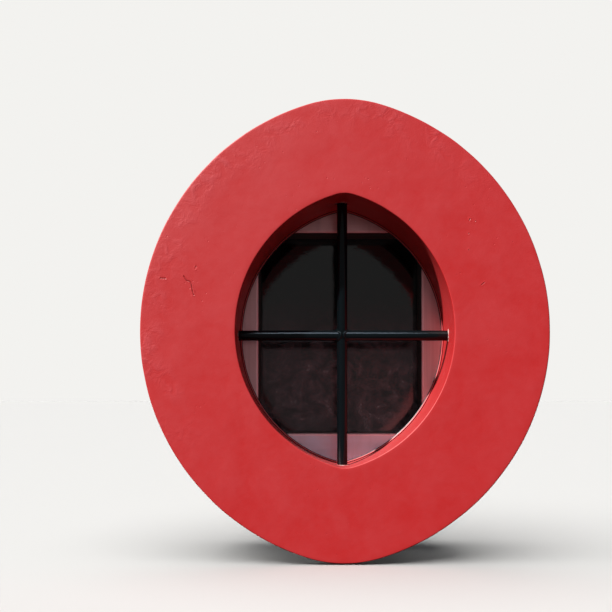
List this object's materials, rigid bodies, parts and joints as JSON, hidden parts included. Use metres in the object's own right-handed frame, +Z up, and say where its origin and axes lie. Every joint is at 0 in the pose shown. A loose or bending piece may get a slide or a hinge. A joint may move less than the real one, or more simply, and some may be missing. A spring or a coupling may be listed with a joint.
{
  "type": "porthole window",
  "caption": "Fixed oval porthole window: a red cast surround with a deep reveal, a grille of round black bars and a glazed timber frame behind it.",
  "frame": {"origin": "middle of the oval opening on the wall's face, which is the back of the band", "axes": "+Z up, +Y into the wall and the room, so the front faces -Y, +X to the right of someone outside"},
  "size_m": [0.846, 0.2965, 0.9598],
  "materials": {
    "red_render": "cast cement, smoothed by trowel and painted a satin red",
    "red_metal": "thin metal stop bead, painted red with the reveal",
    "black_gloss": "round steel bar under several coats of gloss black paint",
    "mortar": "rough sand mortar, brushed with thin red paint",
    "frame_paint": "timber under pale dusty paint, brush marks and dirt in the corners",
    "peg_wood": "plain turned beech",
    "foam_tape": "closed-cell foam, matt",
    "screw_steel": "zinc plated",
    "plug_nylon": "grey nylon",
    "cap_plastic": "satin moulded plastic",
    "dark_glass": "single pane, dark from the room behind, dusty in its lower half",
    "glazing_tape": "butyl tape, matt black",
    "packer_plastic": "moulded packer",
    "pin_steel": "bright steel pin"
  },
  "bodies": {
    "root": {"surround": "red_render", "reveal_trim": "red_metal", "bar_vertical": "black_gloss", "bar_left": "black_gloss", "bar_right": "black_gloss", "cross_weld": "black_gloss", "bar_grout": "mortar", "frame_head": "frame_paint", "frame_bottom_rail": "frame_paint", "frame_jamb_left": "frame_paint", "frame_jamb_right": "frame_paint", "corner_dowels": "peg_wood", "frame_seal": "foam_tape", "frame_screws": "screw_steel", "screw_plugs": "plug_nylon", "screw_caps": "cap_plastic", "glass_pane": "dark_glass", "front_glazing_tape": "glazing_tape", "back_glazing_tape": "glazing_tape", "setting_blocks": "packer_plastic", "edge_blocks": "packer_plastic", "bead_top": "frame_paint", "bead_bottom": "frame_paint", "bead_left": "frame_paint", "bead_right": "frame_paint", "bead_pins": "pin_steel", "stud_sockets": "screw_steel", "anchor_studs": "screw_steel"}
  },
  "joints": []
}
